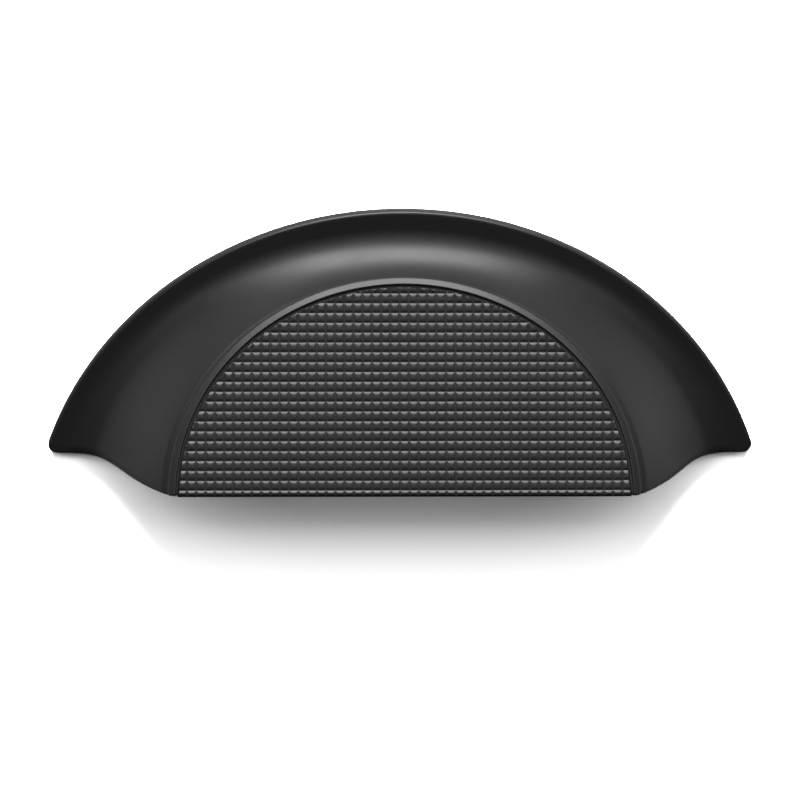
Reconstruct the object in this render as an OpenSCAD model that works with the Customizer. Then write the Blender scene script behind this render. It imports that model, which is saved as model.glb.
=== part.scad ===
// Cup handle for a cabinet door or drawer, cast in one piece.
// A thin half-round flange sweeps forward into a cup, whose leaning grip face carries a raised field of small pyramids.
// The flange's back lies on the plane y = 0, the grip face looks towards -Y, and the fingers reach in from below.
// The origin lies on that back plane, midway between the two screw holes.

/* [Outline] */
// Distance between the two screw holes
hole_spacing = 64; // [56:1:96]
// How far each flange tip reaches past its screw hole
tip_overhang = 20; // [18:0.5:26]
// Height of the flange above the lower edge
overall_h = 37; // [33:0.2:42]
// How far below the lower edge the centre of the rim's curve lies
rim_drop = 15.5; // [10:0.1:22]
// Radius of the flange tips, seen from the front
tip_r = 1.3; // [0.6:0.1:2.4]

/* [Flange] */
// Thickness of the flange
flange_t = 2; // [1.6:0.1:3]
// Rounding of the flange's front edge
edge_r = 0.5; // [0.2:0.1:1]
// Width of the flat land inside the rim, at the top
land_top = 2; // [1.5:0.1:4]
// Width of the flat land inside the rim, at the tips
land_side = 1.4; // [1:0.1:4.6]

/* [Grip face] */
// Distance from the back plane to the grip face, at its lower edge
projection = 21.9; // [20:0.1:30]
// Angle by which the grip face leans back
face_lean = 25; // [16:1:28]
// Width of the band between the rim and the grip face, at the top
band_top = 8.3; // [8:0.05:10.5]
// Width of the band between the rim and the grip face, at the tips
band_side = 18.1; // [16:0.05:22]
// Width of the sloping border round the grip face
border_w = 1; // [0.4:0.05:1.2]
// Angle by which that border falls away from the face
border_slope = 24; // [10:1:35]

/* [Swept wall] */
// Wall thickness behind the sweep
wall_t = 2.2; // [1.6:0.1:2.8]
// How slowly the sweep leaves the flange at the top, as a share of its run
sweep_top = 0.54; // [0.35:0.01:0.6]
// How slowly the sweep leaves the flange at the tips, as a share of its run
sweep_side = 0.54; // [0.35:0.01:0.6]
// How long the sweep holds its last slope at the top, as a share of its run
crown_top = 0.3; // [0.2:0.01:0.42]
// How long the sweep holds its last slope at the tips, as a share of its run
crown_side = 0.54; // [0.3:0.01:0.6]
// Slope at which the sweep meets the border of the grip face at the top
lip_slope_top = 64; // [45:1:67]
// Slope at which the sweep meets the border of the grip face at the tips
lip_slope_side = 46; // [25:1:50]

/* [Knurled field] */
// Distance between the pyramids across the face
pitch_x = 1.32; // [1:0.01:2.4]
// Distance between the pyramids up the face
pitch_y = 1.42; // [1:0.01:2.4]
// Height of the pyramids
pyramid_h = 0.4; // [0.2:0.05:0.7]
// Distance from the lower edge of the face to its first valley
first_valley = 1.32; // [0.3:0.02:1.4]
// How far the crest of the border lies behind the tips of the pyramids
lip_drop = 0.35; // [0.1:0.05:0.6]
// Width of the narrow flat between the border and the groove
lip_w = 0.1; // [0.05:0.05:0.4]
// Width of the groove round the field, at its floor
groove_w = 0.2; // [0.2:0.05:1]
// Depth of the groove below the border
groove_d = 0.45; // [0.3:0.05:0.8]
// Width of the bevel at the edge of the field
bevel_w = 0.3; // [0.2:0.05:0.9]
// Height of the bevel along the lower edge of the field
lower_bevel_h = 0.6; // [0.2:0.05:1]
// How far behind the tips of the pyramids that bevel ends
lower_bevel_d = 0.45; // [0.1:0.05:0.7]

/* [Screw bosses] */
// Height of the screw holes above the lower edge
hole_height = 13.2; // [11:0.1:15]
// Diameter of the bosses
boss_d = 8.4; // [7:0.1:9]
// Tapping diameter of the blind holes
hole_d = 3.3; // [2.5:0.1:4.2]
// Full-bore depth of the blind holes
hole_depth = 6.5; // [4:0.5:7]
// Full angle of the drill point at the bottom of the holes
drill_point = 118; // [90:1:140]

/* [Hidden] */
coat = "#2b2b2c";

// Facets along the outline and up the sections
tip_steps = 4;
arc_steps = 32;
edge_steps = 3;
sweep_steps = 15;
inner_steps = 9;

// How far cutting solids run past the faces they cut
past = 1;

overall_w = hole_spacing + 2 * tip_overhang;
rim_b = overall_h + rim_drop;
rim_touch = asin((rim_drop + tip_r) / (rim_b - tip_r));
tip_x = overall_w / 2 - tip_r;
rim_a = tip_r + tip_x / cos(rim_touch);
tip_end = atan2(rim_a * sin(rim_touch), rim_b * cos(rim_touch));

face_half_w = overall_w / 2 - band_side;
floor_drop = lip_drop + groove_d;
border_drop = lip_drop + border_w * tan(border_slope);
field_inset = border_w + lip_w + groove_w;
face_len = (overall_h - band_top + border_drop * sin(face_lean)) / cos(face_lean);
ceiling_drop = floor_drop + wall_t;

function mix(a, b, k) = a + (b - a) * k;

// The rim from the right tip to the top, as [x, z]: a small arc at the tip, then an ellipse
half_rim = [
    for (i = [0 : tip_steps])
        let (a = mix(-90, tip_end, i / tip_steps))
        [tip_x + tip_r * cos(a), tip_r + tip_r * sin(a)],
    for (i = [1 : arc_steps])
        let (t = mix(rim_touch, 90, i / arc_steps))
        [rim_a * cos(t), rim_b * sin(t) - rim_drop]
];
// The whole rim, right tip to left tip
rim = [
    each half_rim,
    for (i = [len(half_rim) - 2 : -1 : 0]) [-half_rim[i][0], half_rim[i][1]]
];
columns = len(rim);

// A point of the leaning face: half-ellipse angle, inset from the border, drop below the pyramid tips
function face_point(angle, inset, drop) =
    let (foot = drop * tan(face_lean),
         up = foot + (face_len - inset - foot) * sin(angle))
    [(face_half_w - inset) * cos(angle),
     -projection + up * sin(face_lean) + drop * cos(face_lean),
     up * cos(face_lean) - drop * sin(face_lean)];

// Depth of the plane at a drop below the pyramid tips, at height z
function face_depth(z, drop) = projection - drop / cos(face_lean) - z * tan(face_lean);

// Each column of the sweep runs from a point of the rim to the border point in the same direction
function rim_angle(p) = atan2(p[1], p[0]);
function topness(p) = pow(sin(rim_angle(p)), 2);

// A cubic curve and its slope, from four control points
function bezier(p, t) =
    pow(1 - t, 3) * p[0] + 3 * t * pow(1 - t, 2) * p[1] + 3 * t * t * (1 - t) * p[2] + t * t * t * p[3];
function bezier_slope(p, t) =
    3 * pow(1 - t, 2) * (p[1] - p[0]) + 6 * t * (1 - t) * (p[2] - p[1]) + 3 * t * t * (p[3] - p[2]);

// Control points of the sweep in a column, as [run in from the rim, depth in front of the back plane]
function sweep_controls(p, run, depth) =
    let (k = topness(p),
         land = mix(land_side, land_top, k),
         reach = run - land,
         crown = mix(crown_side, crown_top, k) * reach,
         slope = mix(lip_slope_side, lip_slope_top, k))
    [[land, flange_t],
     [land + mix(sweep_side, sweep_top, k) * reach, flange_t],
     [run - crown, depth - crown * tan(slope)],
     [run, depth]];

// A point of a column's section, moved off the outer surface by an inward offset
function swept_point(p, t, offset) =
    let (border = face_point(rim_angle(p), 0, border_drop),
         step = [border[0], border[2]] - p,
         run = norm(step),
         controls = sweep_controls(p, run, -border[1]),
         slope = bezier_slope(controls, t),
         inward = [slope[1], -slope[0]] / norm(slope),
         q = bezier(controls, t) + offset * inward,
         place = p + step * q[0] / run)
    [place[0], -q[1], place[1]];

// A point of the flange's edge: inset from the rim, depth in front of the back plane
function edge_point(p, inset, depth) =
    let (border = face_point(rim_angle(p), 0, border_drop),
         step = [border[0], border[2]] - p,
         place = p + step * inset / norm(step))
    [place[0], -depth, place[1]];

// Rows of the outer surface, from the back of the rim to the crest of the border
outer_rows = [
    [for (p = rim) edge_point(p, 0, 0)],
    for (i = [0 : edge_steps])
        let (a = 90 * i / edge_steps)
        [for (p = rim) edge_point(p, edge_r * (1 - cos(a)), flange_t - edge_r * (1 - sin(a)))],
    for (i = [0 : sweep_steps])
        [for (p = rim) swept_point(p, i / sweep_steps, 0)],
    [for (p = rim) face_point(rim_angle(p), border_w, lip_drop)]
];

// Rows of the hollow, from behind the back plane to the flat ceiling under the face
function sunk(j, q) = j == 0 || j == columns - 1 ? [q[0], q[1], -past] : q;
function under_ceiling(q) = [q[0], max(q[1], -face_depth(q[2], ceiling_drop)), q[2]];
mouth_row = [for (j = [0 : columns - 1]) let (q = swept_point(rim[j], 0, wall_t)) sunk(j, [q[0], past, q[2]])];
inner_rows = [
    mouth_row,
    for (i = [0 : inner_steps])
        [for (j = [0 : columns - 1]) under_ceiling(sunk(j, swept_point(rim[j], i / inner_steps, wall_t)))]
];

// A solid between a back plane and a front plane, whose sides are rows of points laid from right to left
module lofted(rows, back_foot, front_foot) {
    n = len(rows) - 1;
    m = len(rows[0]) - 1;
    back = (n + 1) * (m + 1);
    front = back + 1;
    function at(i, j) = i * (m + 1) + j;
    polyhedron(
        [for (row = rows) each row, back_foot, front_foot],
        [
            for (i = [0 : n - 1], j = [0 : m - 1]) each [
                [at(i, j), at(i + 1, j + 1), at(i, j + 1)],
                [at(i, j), at(i + 1, j), at(i + 1, j + 1)]
            ],
            for (j = [0 : m - 1]) [back, at(0, j), at(0, j + 1)],
            for (j = [0 : m - 1]) [front, at(n, j + 1), at(n, j)],
            for (i = [0 : n - 1]) [back, at(i + 1, 0), at(i, 0)],
            for (i = [0 : n - 1]) [back, at(i, m), at(i + 1, m)],
            [back, front, at(n, 0)],
            [back, at(n, m), front]
        ]
    );
}

// The outer form: flange, swept wall, sloping border and a flat front at the level of its crest
module outer_form() {
    lofted(outer_rows, [0, 0, 0], [0, -face_depth(0, lip_drop), 0]);
}

// The finger cup behind the face
module hollow() {
    lofted(inner_rows, [0, past, -past], [0, -face_depth(-past, ceiling_drop), -past]);
}

// Places its children on the leaning face, with X across it, Y up it and Z out of it
module on_face() {
    translate([0, -projection, 0])
        rotate([90 - face_lean, 0, 0])
            children();
}

// The outline of the face moved in from its border, running on below the lower edge
module face_outline(inset) {
    polygon([
        for (i = [0 : 2 * arc_steps])
            let (a = 90 * i / arc_steps)
            [(face_half_w - inset) * cos(a), (face_len - inset) * sin(a)],
        [-(face_half_w - inset), -past],
        [face_half_w - inset, -past]
    ]);
}

// The shallow recess that the field stands in
module recess() {
    on_face()
        translate([0, 0, -floor_drop])
            linear_extrude(floor_drop + past)
                face_outline(border_w + lip_w);
}

// A sheet of square-based pyramids, with its valleys in one plane and a flat base
module pyramid_sheet() {
    cols = 2 * ceil(face_half_w / pitch_x) + 1;
    rows = ceil((face_len - first_valley) / pitch_y) + 1;
    x0 = -cols / 2 * pitch_x;
    y0 = first_valley - pitch_y;
    base_z = -floor_drop - past;
    valley = (cols + 1) * (rows + 1);
    corner = valley + cols * rows;
    function g(i, j) = j * (cols + 1) + i;
    function tip(i, j) = valley + j * cols + i;
    polyhedron(
        [
            for (j = [0 : rows], i = [0 : cols]) [x0 + i * pitch_x, y0 + j * pitch_y, -pyramid_h],
            for (j = [0 : rows - 1], i = [0 : cols - 1]) [x0 + (i + 0.5) * pitch_x, y0 + (j + 0.5) * pitch_y, 0],
            for (q = [[0, 0], [cols, 0], [cols, rows], [0, rows]])
                [x0 + q[0] * pitch_x, y0 + q[1] * pitch_y, base_z]
        ],
        [
            for (j = [0 : rows - 1], i = [0 : cols - 1]) each [
                [tip(i, j), g(i + 1, j), g(i, j)],
                [tip(i, j), g(i + 1, j + 1), g(i + 1, j)],
                [tip(i, j), g(i, j + 1), g(i + 1, j + 1)],
                [tip(i, j), g(i, j), g(i, j + 1)]
            ],
            for (i = [0 : cols - 1]) each [
                [corner, g(i, 0), g(i + 1, 0)],
                [corner + 3, g(i + 1, rows), g(i, rows)]
            ],
            for (j = [0 : rows - 1]) each [
                [corner, g(0, j + 1), g(0, j)],
                [corner + 1, g(cols, j), g(cols, j + 1)]
            ],
            [corner, g(cols, 0), corner + 1],
            [corner + 3, corner + 2, g(cols, rows)],
            [corner, corner + 3, g(0, rows)],
            [corner + 1, g(cols, rows), corner + 2],
            [corner, corner + 1, corner + 2],
            [corner, corner + 2, corner + 3]
        ]
    );
}

// Everything above the lower edge and behind the bevel along it
module behind_lower_bevel() {
    rotate([90, 0, 90])
        translate([0, 0, -overall_w / 2])
            linear_extrude(overall_w)
                polygon([
                    [0, 0],
                    [-face_depth(0, lower_bevel_d), 0],
                    [-face_depth(lower_bevel_h, 0), lower_bevel_h],
                    [-projection - past, lower_bevel_h],
                    [-projection - past, overall_h],
                    [0, overall_h]
                ]);
}

// The raised field: the pyramids cut to the face's outline, with bevelled edges
module knurled_field() {
    skin = 0.01;
    root = 0.3;
    slant = bevel_w / floor_drop;
    intersection() {
        on_face()
            pyramid_sheet();
        on_face()
            hull() {
                translate([0, 0, -floor_drop - root])
                    linear_extrude(skin)
                        face_outline(field_inset - root * slant);
                linear_extrude(skin)
                    face_outline(field_inset + bevel_w);
            }
        behind_lower_bevel();
    }
}

// Both screw positions, with Z running forward into the casting
module at_screws() {
    for (side = [-1, 1])
        translate([side * hole_spacing / 2, 0, hole_height])
            rotate([90, 0, 0])
                children();
}

module bosses() {
    at_screws()
        translate([0, 0, -2 * past])
            cylinder(d = boss_d, h = projection + 3 * past, $fn = 64);
}

// Blind holes with the cone that a drill leaves at the bottom
module screw_holes() {
    at_screws() {
        translate([0, 0, -past])
            cylinder(d = hole_d, h = hole_depth + past, $fn = 48);
        translate([0, 0, hole_depth])
            cylinder(d1 = hole_d, d2 = 0, h = hole_d / 2 / tan(drill_point / 2), $fn = 48);
    }
}

// The one casting, moved so that the origin lies midway between its screw holes
module handle_casting() {
    color(coat)
        translate([0, 0, -hole_height])
            difference() {
                union() {
                    difference() {
                        outer_form();
                        recess();
                    }
                    knurled_field();
                }
                difference() {
                    hollow();
                    bosses();
                }
                screw_holes();
            }
}

handle_casting();
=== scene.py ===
import math

import bmesh
import bpy
import numpy as np
from mathutils import Matrix, Vector


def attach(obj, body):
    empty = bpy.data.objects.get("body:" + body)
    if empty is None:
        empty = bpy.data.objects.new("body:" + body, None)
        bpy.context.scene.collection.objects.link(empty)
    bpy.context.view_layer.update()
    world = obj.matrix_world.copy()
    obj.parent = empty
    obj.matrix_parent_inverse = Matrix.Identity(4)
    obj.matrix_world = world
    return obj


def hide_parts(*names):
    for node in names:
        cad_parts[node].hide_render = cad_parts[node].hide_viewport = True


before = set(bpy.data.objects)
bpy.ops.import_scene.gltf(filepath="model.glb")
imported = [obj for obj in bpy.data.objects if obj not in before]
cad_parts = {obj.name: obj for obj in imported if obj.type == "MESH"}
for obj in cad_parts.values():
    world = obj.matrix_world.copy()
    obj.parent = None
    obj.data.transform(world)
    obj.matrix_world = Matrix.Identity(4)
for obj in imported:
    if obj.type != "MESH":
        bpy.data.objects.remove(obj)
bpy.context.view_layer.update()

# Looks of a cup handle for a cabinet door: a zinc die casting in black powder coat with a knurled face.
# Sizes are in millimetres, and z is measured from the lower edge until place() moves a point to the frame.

MM = 0.001

# The handle's main sizes: the cast part's own, with the sweep at the top and the knurl fitted more closely
HOLE_SPACING = 64.0
HOLE_HEIGHT = 13.2
OVERALL_W = 104.0
OVERALL_H = 37.0
RIM_DROP = 15.5
TIP_R = 1.3
FLANGE_T = 2.0
EDGE_R = 0.5
LAND_TOP, LAND_SIDE = 2.6, 1.4
PROJECTION = 21.9
LEAN = math.radians(25.0)
BAND_TOP, BAND_SIDE = 8.3, 18.1
BORDER_W = 1.0
BORDER_SLOPE = math.radians(24.0)
WALL_T = 2.2
SWEEP_TOP, SWEEP_SIDE = 0.30, 0.54
CROWN_TOP, CROWN_SIDE = 0.22, 0.54
LIP_SLOPE_TOP, LIP_SLOPE_SIDE = math.radians(72.0), math.radians(46.0)
PITCH_X, PITCH_Y = 1.328, 1.427
RELIEF = 0.18
FIRST_VALLEY = 1.10
LIP_DROP = 0.35
LIP_W = 0.1
GROOVE_W = 0.2
GROOVE_D = 0.45
BEVEL_W = 0.3
BOSS_D = 8.4
HOLE_D = 3.3
HOLE_DEPTH = 6.5
DRILL_POINT = math.radians(118.0)

# Small roundings that the coat and the casting die leave
LOWER_R = 0.4
FIELD_LOWER_IN = 0.45
FIELD_LOWER_V = 0.95
BACK_R = 0.15
LIP_R = 0.2
GROOVE_R = 0.12
CEILING_R = 0.9
BOSS_FILLET = 0.8

# The soft crease between sweep and border: from this share of the sweep to this inset of the border,
# and how deep its corner is sunk at the sides, where the border stands a little proud of the wall
CREASE_FROM = 0.97
CREASE_TO = 0.15
CREASE_SUNK = 0.5

# M4 thread: pitch, and its height above the tapping diameter
THREAD_PITCH = 0.7
THREAD_H = 0.35

# Sizes that follow from these
RIM_B = OVERALL_H + RIM_DROP
RIM_TOUCH = math.asin((RIM_DROP + TIP_R) / (RIM_B - TIP_R))
TIP_X = OVERALL_W / 2 - TIP_R
RIM_A = TIP_R + TIP_X / math.cos(RIM_TOUCH)
TIP_END = math.atan2(RIM_A * math.sin(RIM_TOUCH), RIM_B * math.cos(RIM_TOUCH))
FACE_HALF_W = OVERALL_W / 2 - BAND_SIDE
FLOOR_DROP = LIP_DROP + GROOVE_D
BORDER_DROP = LIP_DROP + BORDER_W * math.tan(BORDER_SLOPE)
FIELD_INSET = BORDER_W + LIP_W + GROOVE_W
CEILING_DROP = FLOOR_DROP + WALL_T
FACE_LEN = (OVERALL_H - BAND_TOP + BORDER_DROP * math.sin(LEAN)) / math.cos(LEAN)

# Steps of the smooth surfaces
TIP_STEPS = 14
ARC_STEPS = 120
SWEEP_STEPS = 60
INNER_STEPS = 36
EDGE_CELL_STEPS = 10


def place(points):
    """Millimetres measured from the lower edge, as metres in the frame, where z is 0 at the screw holes."""
    return (points - np.array([0.0, 0.0, HOLE_HEIGHT])) * MM


def mix(a, b, k):
    return a + (b - a) * k


def eased(z, radius):
    """How far the rounded lower edge draws a surface in at height z: r - sqrt(r^2 - (r - z)^2)."""
    left = np.clip(radius - z, 0.0, radius)
    return radius - np.sqrt(radius ** 2 - left ** 2)


def rim_line():
    """The rim from the right tip over the top to the left tip, as rows of (x, z).
    A small arc (tip_x + r cos a, r + r sin a), the ellipse (A cos t, B sin t - drop), and their mirror."""
    a = np.linspace(-math.pi / 2, TIP_END, TIP_STEPS + 1)
    tip = np.stack([TIP_X + TIP_R * np.cos(a), TIP_R + TIP_R * np.sin(a)], axis=1)
    t = np.linspace(RIM_TOUCH, math.pi / 2, ARC_STEPS + 1)[1:]
    arc = np.stack([RIM_A * np.cos(t), RIM_B * np.sin(t) - RIM_DROP], axis=1)
    half = np.concatenate([tip, arc])
    return np.concatenate([half, half[-2::-1] * [-1.0, 1.0]])


def face_point(angle, inset, drop):
    """A point of the leaning face: a half-ellipse moved in by an inset and sunk by a drop below the tips.
    Across it is (half width - inset) cos angle, and up the face foot + (length - inset - foot) sin angle,
    where foot = drop tan lean."""
    foot = drop * math.tan(LEAN)
    up = foot + (FACE_LEN - inset - foot) * np.sin(angle)
    return on_face((FACE_HALF_W - inset) * np.cos(angle), up, drop)


def on_face(u, v, drop):
    """A point u across and v up the leaning face, a drop behind the plane of the pyramid tips."""
    y = -PROJECTION + v * math.sin(LEAN) + drop * math.cos(LEAN)
    z = v * math.cos(LEAN) - drop * math.sin(LEAN)
    return np.stack(np.broadcast_arrays(u, y, z), axis=-1)


def face_depth(z, drop):
    """Depth in front of the back plane of the face's plane sunk by a drop, at height z."""
    return PROJECTION - drop / math.cos(LEAN) - z * math.tan(LEAN)


RIM = rim_line()
RIM_ANGLE = np.arctan2(RIM[:, 1], RIM[:, 0])
BORDER = face_point(RIM_ANGLE, 0.0, BORDER_DROP)
STEP = BORDER[:, [0, 2]] - RIM
RUN = np.linalg.norm(STEP, axis=1)
WAY = STEP / RUN[:, None]


def sweep_controls():
    """Four control points of each column's sweep: run in from the rim, depth in front of the back plane."""
    k = np.sin(RIM_ANGLE) ** 2
    land = mix(LAND_SIDE, LAND_TOP, k)
    reach = RUN - land
    depth = -BORDER[:, 1]
    crown = mix(CROWN_SIDE, CROWN_TOP, k) * reach
    slope = mix(LIP_SLOPE_SIDE, LIP_SLOPE_TOP, k)
    flange = np.full_like(land, FLANGE_T)
    return np.array([
        [land, flange],
        [land + mix(SWEEP_SIDE, SWEEP_TOP, k) * reach, flange],
        [RUN - crown, depth - crown * np.tan(slope)],
        [RUN, depth],
    ])


CONTROLS = sweep_controls()
LAND = CONTROLS[0, 0]


def in_column(run, depth):
    """Points at a run in from the rim and a depth in front of the back plane, in every column."""
    flat = RIM + WAY * run[..., None]
    return np.stack([flat[..., 0], -np.broadcast_to(depth, run.shape), flat[..., 1]], axis=-1)


def section(t, offset):
    """Run and depth of the sweep at t: a cubic with four control points, moved inward along its normal."""
    p = CONTROLS
    s = 1 - t
    run, depth = (
        s ** 3 * p[0, i] + 3 * t * s ** 2 * p[1, i] + 3 * t ** 2 * s * p[2, i] + t ** 3 * p[3, i]
        for i in (0, 1)
    )
    d_run, d_depth = (
        s ** 2 * (p[1, i] - p[0, i]) + 2 * s * t * (p[2, i] - p[1, i]) + t ** 2 * (p[3, i] - p[2, i])
        for i in (0, 1)
    )
    size = np.hypot(d_run, d_depth)
    return run + offset * d_depth / size, depth - offset * d_run / size


def rounded(corners, radii, steps=4):
    """A path through corners (inset, drop) in which each inner corner is a small curve.
    It runs from a radius before the corner to a radius after it, as s^2 a + 2 s t corner + t^2 b."""
    corners = np.array(corners, float)
    path = [corners[:1]]
    t = np.linspace(0, 1, steps + 1)[:, None]
    for i, radius in enumerate(radii, start=1):
        to_last = corners[i - 1] - corners[i]
        to_next = corners[i + 1] - corners[i]
        a = corners[i] + to_last * radius / np.linalg.norm(to_last)
        b = corners[i] + to_next * radius / np.linalg.norm(to_next)
        path.append((1 - t) ** 2 * a + 2 * t * (1 - t) * corners[i] + t ** 2 * b)
    path.append(corners[-1:])
    return np.concatenate(path)


def crease_rows():
    """Rows of the crease: s^2 a + 2 s t corner + t^2 b, with the corner sunk by cos^2 of the rim's angle."""
    a = in_column(*section(CREASE_FROM, 0.0))
    b = face_point(RIM_ANGLE, CREASE_TO, BORDER_DROP - CREASE_TO * math.tan(BORDER_SLOPE))
    corner = BORDER + [[0.0, 1.0, 0.0]] * (CREASE_SUNK * np.cos(RIM_ANGLE) ** 2)[:, None]
    rows = []
    for t in (0.2, 0.4, 0.6, 0.8):
        row = (1 - t) ** 2 * a + 2 * t * (1 - t) * corner + t ** 2 * b
        row[:, 1] += eased(row[:, 2], LOWER_R)
        rows.append(row)
    return rows


def outer_surface():
    """Rows of the outer surface over all columns: rim, flange, sweep, crease, border, groove and floor."""
    rows = []
    ones = np.ones(len(RIM))
    draw_in = eased(RIM[:, 1], LOWER_R)
    for a in np.linspace(0, math.pi / 2, 4):
        rows.append(in_column(BACK_R * (1 - math.sin(a)) * ones, BACK_R * (1 - math.cos(a)) * ones))
    for a in np.linspace(0, math.pi / 2, 9):
        depth = FLANGE_T - EDGE_R * (1 - math.sin(a))
        rows.append(in_column(EDGE_R * (1 - math.cos(a)) * ones, depth - draw_in))
    for share in (0.25, 0.5, 0.75):
        rows.append(in_column(mix(EDGE_R, LAND, share), FLANGE_T - draw_in))
    for t in np.linspace(0, CREASE_FROM, SWEEP_STEPS):
        height = in_column(*section(t, 0.0))[:, 2]
        rows.append(in_column(*section(t, eased(height, LOWER_R))))
    rows += crease_rows()
    groove = rounded(
        [
            [CREASE_TO, BORDER_DROP - CREASE_TO * math.tan(BORDER_SLOPE)],
            [BORDER_W + LIP_W / 2, LIP_DROP],
            [BORDER_W + LIP_W, FLOOR_DROP],
            [FIELD_INSET + 1.5, FLOOR_DROP],
        ],
        [LIP_R, GROOVE_R],
    )
    groove = np.insert(groove, 1, mix(groove[0], groove[1], np.array([[0.1], [0.5], [0.9]])), axis=0)
    for inset, drop in groove:
        height = face_point(RIM_ANGLE, inset, drop)[:, 2]
        rows.append(face_point(RIM_ANGLE, inset, drop + eased(height, LOWER_R)))
    return np.array(rows)


def inner_surface():
    """Rows of the hollow from its mouth in the back plane to the flat ceiling under the face.
    Each is the sweep moved in by the wall. The smooth maximum (a + b + sqrt((a - b)^2 + r^2)) / 2 rounds it
    into the ceiling."""
    tries = 600
    t = np.linspace(0, 1, tries)[:, None]
    depth = section(t, WALL_T)[1]
    first = np.argmax(depth > 0, axis=0)
    column = np.arange(len(RIM))
    low, high = depth[first - 1, column], depth[first, column]
    start = (first - 1 + low / (low - high)) / (tries - 1)
    share = np.linspace(0, 1, INNER_STEPS + 1)[:, None]
    rows = in_column(*section(start + (1 - start) * share, WALL_T))
    ceiling = -face_depth(rows[..., 2], CEILING_DROP)
    gap = rows[..., 1] - ceiling
    rows[..., 1] = (rows[..., 1] + ceiling + np.sqrt(gap ** 2 + CEILING_R ** 2)) / 2
    rows[0, :, 1] = 0.0
    rows[..., 1] = np.minimum(rows[..., 1], 0.0)
    return rows


def grid_faces(rows, columns, first=0):
    """Four-sided faces of a grid of points numbered row by row.
    Each normal is the direction along a row crossed with the direction from row to row."""
    at = first + np.arange(rows * columns).reshape(rows, columns)
    return np.stack([at[:-1, 1:], at[1:, 1:], at[1:, :-1], at[:-1, :-1]], axis=-1).reshape(-1, 4)


def casting_shell():
    """Points and faces of the closed shell of flange, swept wall, face plate and hollow."""
    outer, inner = outer_surface(), inner_surface()
    n_outer, n_inner, columns = len(outer), len(inner), len(RIM)
    start = n_outer * columns
    front_foot = np.array([0.0, -face_depth(0.0, FLOOR_DROP + LOWER_R), 0.0])
    ceiling_foot = np.array([0.0, -face_depth(0.0, CEILING_DROP), 0.0])
    points = np.concatenate([outer.reshape(-1, 3), inner.reshape(-1, 3), [front_foot, ceiling_foot]])
    front, ceiling = start + n_inner * columns, start + n_inner * columns + 1
    j = np.arange(columns - 1)
    last_outer, last_inner = (n_outer - 1) * columns, start + (n_inner - 1) * columns
    faces = grid_faces(n_outer, columns).tolist()
    faces += grid_faces(n_inner, columns, start)[:, ::-1].tolist()
    faces += np.stack([last_outer + j + 1, np.full_like(j, front), last_outer + j], axis=1).tolist()
    faces += np.stack([last_inner + j, np.full_like(j, ceiling), last_inner + j + 1], axis=1).tolist()
    faces += np.stack([start + j + 1, j + 1, j, start + j], axis=1).tolist()
    up_outer, up_inner = np.arange(n_outer) * columns, start + np.arange(n_inner) * columns
    end = columns - 1
    faces.append(
        [*up_outer.tolist(), front, *(up_outer + end)[::-1].tolist(),
         *(up_inner + end).tolist(), ceiling, *up_inner[::-1].tolist()]
    )
    return points, faces


def border_inset(u, v):
    """How far a point of the face lies inside the border's outer line.
    Newton's method on (u / (W - i))^2 + (v / (L - i))^2 = 1, held to a depth that is far from the edge."""
    far = 8.0
    inset = np.minimum(FACE_HALF_W - np.hypot(u, v * FACE_HALF_W / FACE_LEN), far)
    for _ in range(6):
        a, b = FACE_HALF_W - inset, FACE_LEN - inset
        value = (u / a) ** 2 + (v / b) ** 2 - 1
        slope = 2 * u ** 2 / a ** 3 + 2 * v ** 2 / b ** 3 + 1e-9
        inset = np.minimum(inset - value / slope, far)
    return inset


# Blunt pyramids: how the drop grows from the middle (0) to the valleys (0.5), as a share of the relief
FALL_AT = np.array([0.0, 0.12, 0.22, 0.31, 0.37, 0.46, 0.5])
FALL = np.array([0.03, 0.06, 0.16, 0.32, 0.50, 0.95, 1.0])

# How far the field's edge is buried below the floor of the groove
FIELD_ROOT = 0.3


def field_drop(u, v):
    """Drop of the field below the plane of the tips: the largest of the pyramids', the edge bevel's and the
    lower rounding's, which is depth * (1 - sqrt(1 - turn^2)), with turn 0 at its top and 1 at its foot."""
    across = np.abs(u / PITCH_X - np.round(u / PITCH_X))
    rise = (v - FIRST_VALLEY) / PITCH_Y
    along = np.abs(rise - np.floor(rise) - 0.5)
    pyramids = RELIEF * np.interp(np.maximum(across, along), FALL_AT, FALL)
    bevel = FLOOR_DROP * (1 - (border_inset(u, v) - FIELD_INSET) / BEVEL_W)
    foot = FIELD_LOWER_IN * math.tan(LEAN)
    turn = np.clip((FIELD_LOWER_V - v) / (FIELD_LOWER_V - foot), 0.0, 1.0)
    lower = FIELD_LOWER_IN * (1 - np.sqrt(1 - turn ** 2))
    return np.minimum(np.maximum.reduce([pyramids, bevel, lower]), FLOOR_DROP + FIELD_ROOT)


def field_points(u, v):
    """Points of the field, cut level with the lower edge: v is raised to drop tan lean where it is less."""
    drop = field_drop(u, v)
    low = np.zeros(u.shape, bool)
    for _ in range(8):
        under = v < drop * math.tan(LEAN) + 1e-9
        low |= under
        v = np.where(low, drop * math.tan(LEAN), v)
        drop = field_drop(u, v)
    return on_face(u, v, drop), low


def field_underside():
    """The flat underside of the field, from the foot of its lower rounding back to the face plate."""
    w_foot = FACE_HALF_W - FIELD_INSET
    w_edge = w_foot - BEVEL_W * (1 - FIELD_LOWER_IN / FLOOR_DROP)
    across = np.array([w_edge, w_foot, w_foot, -w_foot, -w_foot, -w_edge])
    deep = FLOOR_DROP + LOWER_R
    drop = np.array([FIELD_LOWER_IN, FLOOR_DROP, deep, deep, FLOOR_DROP, FIELD_LOWER_IN])
    return on_face(across, drop * math.tan(LEAN), drop), [[5, 4, 3, 2, 1, 0]]


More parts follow.
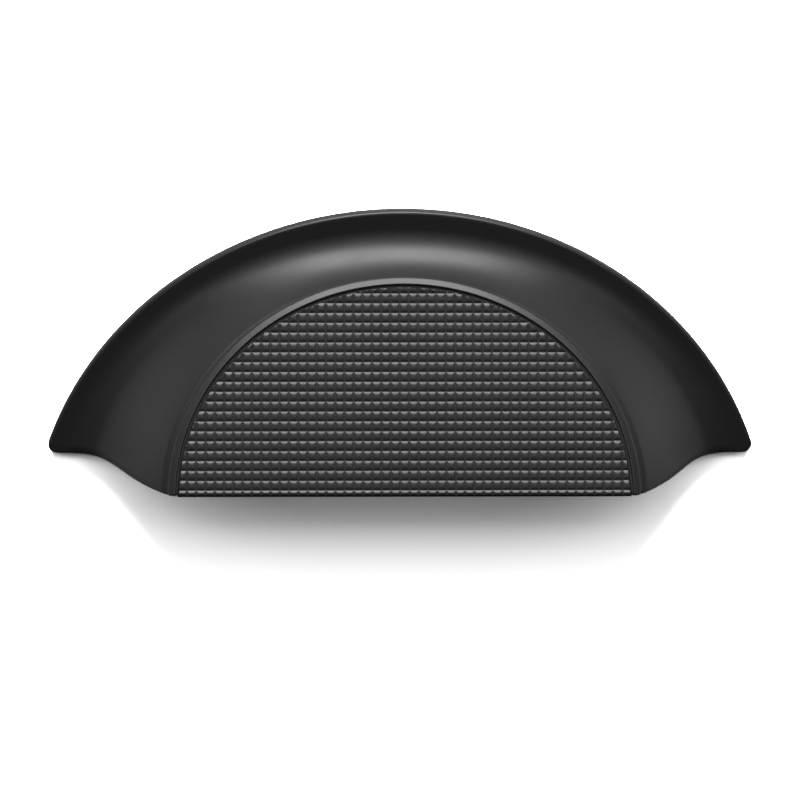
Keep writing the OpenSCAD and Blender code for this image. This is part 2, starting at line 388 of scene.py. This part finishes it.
def pyramid_pattern():
    """One pyramid in a cell of side 1: rings of eight points round a blunt tip, and a square in the valleys.
    Ring points lie at (r, f r) and (f r, r) and their mirror images, so the ridges are small flats."""
    rings = FALL_AT[1:]
    f = 0.88
    eight = np.array([[1, -f], [1, f], [f, 1], [-f, 1], [-1, f], [-1, -f], [-f, -1], [f, -1]])
    points = (rings[:, None, None] * eight).reshape(-1, 2)
    corners = np.array([[.5, .5], [-.5, .5], [-.5, -.5], [.5, -.5]])
    fall = np.concatenate([np.repeat(FALL[1:], 8), np.full(4, FALL[-1])])
    points = np.concatenate([points, corners])
    faces = [list(range(8))]
    for ring in range(len(rings) - 1):
        for i in range(8):
            a, b = ring * 8 + i, ring * 8 + (i + 1) % 8
            faces.append([a, a + 8, b + 8, b])
    last = (len(rings) - 1) * 8
    for corner in range(4):
        i = 2 * corner + 1
        faces.append([last + i, 8 * len(rings) + corner, last + (i + 1) % 8])
    return points, fall, faces


def knurled_field():
    """Points and faces of the raised field.
    Whole cells repeat one pyramid; cells on the bevel or the lower edge are fine grids of field_points."""
    half = math.ceil(FACE_HALF_W / PITCH_X)
    rows = math.ceil((FACE_LEN - FIRST_VALLEY) / PITCH_Y) + 1
    middle_u = np.arange(-half, half + 1) * PITCH_X
    middle_v = FIRST_VALLEY + (np.arange(rows) - 0.5) * PITCH_Y
    cu, cv = np.meshgrid(middle_u, middle_v)
    cu, cv = cu.ravel(), cv.ravel()
    corner = np.array([[-.5, -.5], [.5, -.5], [.5, .5], [-.5, .5]])
    inset = border_inset(cu[:, None] + corner[:, 0] * PITCH_X, cv[:, None] + corner[:, 1] * PITCH_Y)
    clear = cv - PITCH_Y / 2 > FIELD_LOWER_V
    whole = (inset.min(axis=1) > FIELD_INSET + BEVEL_W) & clear
    edge = ~whole & (inset.max(axis=1) > FIELD_INSET - BEVEL_W)
    shape, fall, pattern = pyramid_pattern()
    u = cu[whole][:, None] + shape[:, 0] * PITCH_X
    v = cv[whole][:, None] + shape[:, 1] * PITCH_Y
    points = [on_face(u, v, RELIEF * fall).reshape(-1, 3)]
    count = len(shape)
    faces = [[i + k * count for i in face] for k in range(int(whole.sum())) for face in pattern]
    n = EDGE_CELL_STEPS
    side = np.linspace(-0.5, 0.5, n + 1)
    su, sv = np.meshgrid(side * PITCH_X, side * PITCH_Y)
    u = cu[edge][:, None] + su.ravel()
    v = cv[edge][:, None] + sv.ravel()
    fine, low = field_points(u, v)
    buried = field_drop(u, v) >= FLOOR_DROP + FIELD_ROOT - 1e-6
    first = len(points[0])
    points.append(fine.reshape(-1, 3))
    cell = grid_faces(n + 1, n + 1)
    quads = (np.arange(int(edge.sum())) * (n + 1) ** 2)[:, None, None] + cell
    kept = ~(low.ravel()[quads].all(axis=-1) | buried.ravel()[quads].all(axis=-1))
    faces += (quads[kept] + first).tolist()
    under, under_faces = field_underside()
    first += fine.size // 3
    points.append(under)
    faces += [[i + first for i in face] for face in under_faces]
    return np.concatenate(points), faces


def depth_below(cloud, x, z):
    """Depth in front of the back plane of the nearest point of a surface at (x, z)."""
    near = np.argmin((cloud[:, 0] - x[:, None]) ** 2 + (cloud[:, 2] - z[:, None]) ** 2, axis=1)
    return -cloud[near, 1]


def screw_boss(side):
    """Points and faces of a screw boss with its tapped blind hole, as closed rings about the screw.
    The thread's radius is the tapping radius + height * (1 - |2 frac(depth / pitch - angle / 2 pi) - 1|)."""
    turns = 72
    chamfer = 0.25
    thread_top, thread_end = 0.55, HOLE_DEPTH - 0.6
    edge_r, edge_bevel = 0.2, 0.06
    wall_bite, floor_bite, cap = 0.9, 0.8, 0.3
    angle = np.arange(turns) * 2 * math.pi / turns
    hole_r, boss_r = HOLE_D / 2, BOSS_D / 2
    mouth_r = hole_r + THREAD_H + chamfer
    cone = hole_r / math.tan(DRILL_POINT / 2)
    rings = [
        (np.zeros(turns), np.full(turns, HOLE_DEPTH + cone)),
        (np.full(turns, hole_r), np.full(turns, HOLE_DEPTH)),
    ]
    for depth in np.arange(thread_end, thread_top, -THREAD_PITCH / 8):
        wave = 1 - np.abs(2 * ((depth / THREAD_PITCH - angle / (2 * math.pi)) % 1.0) - 1)
        fade = np.clip((thread_end - depth) / THREAD_PITCH, 0, 1)
        rings.append((hole_r + THREAD_H * wave * fade, np.full(turns, depth)))
    for radius, depth in (
        (hole_r + THREAD_H, chamfer),
        (mouth_r, 0.0),
        (boss_r - edge_r, 0.0),
        (boss_r - edge_bevel, edge_bevel),
        (boss_r, edge_r),
    ):
        rings.append((np.full(turns, radius), np.full(turns, depth)))
    cloud = inner_surface().reshape(-1, 3)
    x, z = side * HOLE_SPACING / 2 + boss_r * np.cos(angle), HOLE_HEIGHT + boss_r * np.sin(angle)
    foot = np.minimum(depth_below(cloud, x, z), face_depth(z, CEILING_DROP))
    for turn in np.linspace(0, math.pi / 2, 6):
        flare = BOSS_FILLET * (1 - math.cos(turn))
        fillet = np.maximum(foot - BOSS_FILLET * (1 - math.sin(turn)), cap)
        rings.append((np.full(turns, boss_r + flare), fillet))
    rings.append((np.full(turns, boss_r), foot + wall_bite))
    for radius in (2.6, 1.6, 0.8, 0.0):
        x, z = side * HOLE_SPACING / 2 + radius * np.cos(angle), HOLE_HEIGHT + radius * np.sin(angle)
        behind = np.minimum(depth_below(cloud, x, z), face_depth(z, CEILING_DROP)) + floor_bite
        bore = HOLE_DEPTH + cone * (1 - radius / hole_r) + cap
        rings.append((np.full(turns, radius), np.maximum(behind, bore)))
    radius, depth = np.array([r for r, _ in rings]), np.array([d for _, d in rings])
    x = side * HOLE_SPACING / 2 + radius * np.cos(angle)
    points = np.stack([x, -depth, HOLE_HEIGHT + radius * np.sin(angle)], axis=-1)
    closed = np.concatenate([points, points[:, :1]], axis=1)
    return closed.reshape(-1, 3), grid_faces(len(rings), turns + 1).tolist()


def piece(name, shells):
    """One smooth mesh object from shells of points and faces.
    Doubled points are merged, points without a face go, and edges sharper than 32 degrees stay sharp."""
    sharp = math.radians(32)
    points, faces = [], []
    count = 0
    for shell_points, shell_faces in shells:
        points.append(shell_points)
        faces += [[i + count for i in face] for face in shell_faces]
        count += len(shell_points)
    mesh = bpy.data.meshes.new(name)
    mesh.from_pydata(place(np.concatenate(points)), [], faces)
    mesh.polygons.foreach_set("use_smooth", [True] * len(faces))
    merged = bmesh.new()
    merged.from_mesh(mesh)
    bmesh.ops.remove_doubles(merged, verts=merged.verts, dist=1e-7)
    bmesh.ops.dissolve_degenerate(merged, edges=merged.edges, dist=1e-8)
    bmesh.ops.delete(merged, geom=[vert for vert in merged.verts if not vert.link_faces], context="VERTS")
    merged.to_mesh(mesh)
    merged.free()
    mesh.set_sharp_from_angle(angle=sharp)
    made = bpy.data.objects.new(name, mesh)
    bpy.context.scene.collection.objects.link(made)
    return made


def linear(hex_colour):
    """An sRGB hex colour as linear red, green, blue and alpha."""
    parts = [int(hex_colour[i:i + 2], 16) / 255 for i in (1, 3, 5)]
    return (*[c / 12.92 if c <= 0.04045 else ((c + 0.055) / 1.055) ** 2.4 for c in parts], 1.0)


def add_node(tree, kind, settings=None, inputs=None):
    """Adds a node, sets its properties, and gives its inputs a value or links them to an output."""
    node = tree.nodes.new(kind)
    for key, value in (settings or {}).items():
        setattr(node, key, value)
    for key, value in (inputs or {}).items():
        if isinstance(value, bpy.types.NodeSocket):
            tree.links.new(value, node.inputs[key])
        else:
            node.inputs[key].default_value = value
    return node


def material(name):
    made = bpy.data.materials.new(name)
    made.use_nodes = True
    made.node_tree.nodes.clear()
    return made, made.node_tree


def black_powder_coat():
    """Fine matte polyester powder, sprayed and stoved over a die casting.
    It gives a soft wide sheen, a faint orange peel of about half a millimetre and a finer grain on top."""
    made, tree = material("Black powder coat, fine matte")
    where = add_node(tree, "ShaderNodeTexCoord").outputs["Object"]
    peel = add_node(tree, "ShaderNodeTexNoise", inputs={
        "Vector": where, "Scale": 1 / (1.1 * MM), "Detail": 2.0, "Roughness": 0.5})
    grain = add_node(tree, "ShaderNodeTexNoise", inputs={
        "Vector": where, "Scale": 1 / (0.28 * MM), "Detail": 2.0, "Roughness": 0.6})
    cloudy = add_node(tree, "ShaderNodeTexNoise", inputs={
        "Vector": where, "Scale": 1 / (9.0 * MM), "Detail": 3.0, "Roughness": 0.55})
    tone = add_node(tree, "ShaderNodeMix", {"data_type": "RGBA"}, {
        "Factor": grain.outputs["Fac"], "A": linear("#242425"), "B": linear("#2c2c2d")})
    sheen = add_node(tree, "ShaderNodeMapRange", inputs={
        "Value": cloudy.outputs["Fac"], "From Min": 0.3, "From Max": 0.7, "To Min": 0.35, "To Max": 0.41})
    soft = add_node(tree, "ShaderNodeBump", inputs={
        "Height": peel.outputs["Fac"], "Strength": 1.0, "Distance": 0.004 * MM})
    fine = add_node(tree, "ShaderNodeBump", inputs={
        "Height": grain.outputs["Fac"], "Strength": 1.0, "Distance": 0.003 * MM,
        "Normal": soft.outputs["Normal"]})
    coat = add_node(tree, "ShaderNodeBsdfPrincipled", inputs={
        "Base Color": tone.outputs["Result"], "Roughness": sheen.outputs["Result"], "IOR": 1.5,
        "Normal": fine.outputs["Normal"]})
    add_node(tree, "ShaderNodeOutputMaterial", inputs={"Surface": coat.outputs["BSDF"]})
    return made


def white_wall():
    """Matt board behind the handle, seen only from its front.
    The camera sees it scaled up to white, so that the handle's shadow stays on it."""
    true_tone, seen_tone = 0.55, 17.5
    made, tree = material("Matt white backing board")
    seen = add_node(tree, "ShaderNodeLightPath").outputs["Is Camera Ray"]
    shade = add_node(tree, "ShaderNodeMix", {"data_type": "FLOAT"}, {
        "Factor": seen, "A": true_tone, "B": seen_tone})
    colour = add_node(tree, "ShaderNodeCombineColor", inputs={
        "Red": shade.outputs["Result"], "Green": shade.outputs["Result"], "Blue": shade.outputs["Result"]})
    board = add_node(tree, "ShaderNodeBsdfDiffuse", inputs={"Color": colour.outputs["Color"]})
    clear = add_node(tree, "ShaderNodeBsdfTransparent")
    back = add_node(tree, "ShaderNodeNewGeometry").outputs["Backfacing"]
    one_sided = add_node(tree, "ShaderNodeMixShader", inputs={
        "Fac": back, 1: board.outputs["BSDF"], 2: clear.outputs["BSDF"]})
    add_node(tree, "ShaderNodeOutputMaterial", inputs={"Surface": one_sided.outputs["Shader"]})
    return made


def backing_board():
    """A flat square of board in the plane that the handle is screwed to, facing the camera."""
    half = 0.9
    gap = 0.05 * MM
    corners = [(-half, gap, -half), (half, gap, -half), (half, gap, half), (-half, gap, half)]
    mesh = bpy.data.meshes.new("backing_board")
    mesh.from_pydata(corners, [], [(0, 1, 2, 3)])
    board = bpy.data.objects.new("backing_board", mesh)
    board.data.materials.append(white_wall())
    board.visible_shadow = False
    bpy.context.scene.collection.objects.link(board)


def direction(azimuth, elevation):
    """Unit vector from the handle: azimuth 0 is straight in front of it, elevation is above the level."""
    a, e = math.radians(azimuth), math.radians(elevation)
    return Vector((math.sin(a) * math.cos(e), -math.cos(a) * math.cos(e), math.sin(e)))


def softbox(name, azimuth, elevation, distance, width, height, radiance):
    """A flat lamp aimed at the handle, placed by degrees and metres. Its power is radiance * pi * area."""
    lamp = bpy.data.lights.new(name, "AREA")
    lamp.shape = "RECTANGLE"
    lamp.size, lamp.size_y = width, height
    lamp.energy = radiance * math.pi * width * height
    made = bpy.data.objects.new(name, lamp)
    towards = direction(azimuth, elevation)
    made.location = towards * distance
    made.rotation_euler = towards.to_track_quat("Z", "Y").to_euler()
    made.visible_camera = False
    bpy.context.scene.collection.objects.link(made)


def studio():
    """Soft light from overhead, weak fills in front, and lights at the sides and behind, in a dim room.
    The side lights stand a little behind the board, which casts no shadow, and give the swept wall its sheen.
    The light behind shows the hollow to a camera there."""
    # Name, azimuth and elevation in degrees, distance, width and height in metres, radiance
    lamps = [
        ("overhead softbox", -3, 72, 0.80, 0.60, 0.48, 10.0),
        ("front fill", 0, 37, 1.10, 0.90, 0.40, 0.50),
        ("left fill", -38, 27, 1.00, 0.50, 0.36, 0.36),
        ("right fill", 38, 27, 1.00, 0.50, 0.36, 0.36),
        ("far left", -110, 12, 1.00, 0.40, 0.40, 1.50),
        ("far right", 110, 12, 1.00, 0.40, 0.40, 1.70),
        ("behind", 172, 36, 0.90, 0.80, 0.50, 3.00),
    ]
    for lamp in lamps:
        softbox(*lamp)
    world = bpy.data.worlds.new("dim grey room, white to the camera")
    world.use_nodes = True
    tree = world.node_tree
    tree.nodes.clear()
    seen = add_node(tree, "ShaderNodeLightPath").outputs["Is Camera Ray"]
    room = add_node(tree, "ShaderNodeBackground", inputs={"Color": linear("#ffffff"), "Strength": 0.01})
    white = add_node(tree, "ShaderNodeBackground", inputs={"Color": linear("#ffffff"), "Strength": 1.0})
    both = add_node(tree, "ShaderNodeMixShader", inputs={
        "Fac": seen, 1: room.outputs["Background"], 2: white.outputs["Background"]})
    add_node(tree, "ShaderNodeOutputWorld", inputs={"Surface": both.outputs["Shader"]})
    bpy.context.scene.world = world


def camera():
    """A long lens in front of the handle and above it, a little to the left and rolled by under a degree."""
    azimuth, elevation, roll = -1.9, 18.0, math.radians(0.53)
    target = Vector((-0.40, -8.0, -2.97)) * MM
    distance = 0.6
    frame_w = 116.46 * MM
    back = direction(azimuth, elevation)
    level = Vector((0, 0, 1)).cross(back).normalized()
    upright = back.cross(level)
    right = level * math.cos(roll) + upright * math.sin(roll)
    up = upright * math.cos(roll) - level * math.sin(roll)
    lens = bpy.data.cameras.new("camera")
    lens.sensor_width = 36.0
    lens.lens = 36.0 * distance / frame_w
    lens.clip_start, lens.clip_end = 0.05, 10.0
    made = bpy.data.objects.new("camera", lens)
    turned = Matrix((right, up, back)).transposed().to_4x4()
    made.matrix_world = Matrix.Translation(target + back * distance) @ turned
    bpy.context.scene.collection.objects.link(made)
    bpy.context.scene.camera = made


camera()
studio()
backing_board()

handle = piece("cup_handle", [casting_shell(), screw_boss(-1), screw_boss(1), knurled_field()])
handle.data.materials.append(black_powder_coat())
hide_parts("handle_casting")
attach(handle, "root")

bpy.context.scene.view_settings.view_transform = "Standard"
